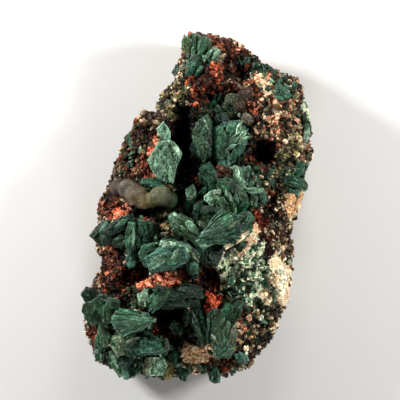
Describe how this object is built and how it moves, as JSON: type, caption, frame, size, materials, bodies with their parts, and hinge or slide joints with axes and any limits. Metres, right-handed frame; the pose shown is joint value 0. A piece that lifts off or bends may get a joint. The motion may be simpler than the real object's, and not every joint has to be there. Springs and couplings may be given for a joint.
{
  "type": "mineral specimen",
  "caption": "Hand specimen of green heulandite crystals and grey chalcedony on a druse-covered rock matrix, lying on its flat broken back.",
  "frame": {"origin": "middle of the specimen's bounding box, on the flat broken back", "axes": "+Z out of the crystal-covered face, +Y towards the crown of the specimen"},
  "size_m": [0.0924, 0.1418, 0.0533],
  "materials": {
    "rock": "matt, granular",
    "chalcedony": "waxy",
    "heulandite": "pearly"
  },
  "bodies": {
    "root": {"matrix": "rock", "chalcedony_left": "chalcedony", "chalcedony_knobs": "chalcedony", "crown_crystals": "heulandite", "neck_crystal": "heulandite", "small_rhomb_crystal": "heulandite", "large_tabular_crystal": "heulandite", "ledge_crystal": "heulandite", "cavity_leaf_crystal": "heulandite", "cavity_axe_crystal": "heulandite", "lone_cavity_crystal": "heulandite", "cavity_floor_crystals": "heulandite", "centre_spray_crystals": "heulandite", "centre_plate_crystals": "heulandite", "saddle_crystals": "heulandite", "saddle_side_crystal": "heulandite", "left_shoulder_crystals": "heulandite", "arch_crystals": "heulandite", "left_fan_crystals": "heulandite", "sheaf_crystal": "heulandite", "lower_left_crystals": "heulandite", "left_edge_blades": "heulandite", "bottom_block_crystal": "heulandite", "bottom_tip_left": "heulandite", "bottom_tip_right": "heulandite", "lower_corner_crystal": "heulandite", "lower_blade_crystals": "heulandite", "arch_foot_crystal": "heulandite", "arch_floor_crystal": "heulandite", "right_edge_crystals": "heulandite", "right_rim_blade": "heulandite", "upper_field_crystal": "heulandite", "upper_edge_crystal": "heulandite"}
  },
  "joints": []
}
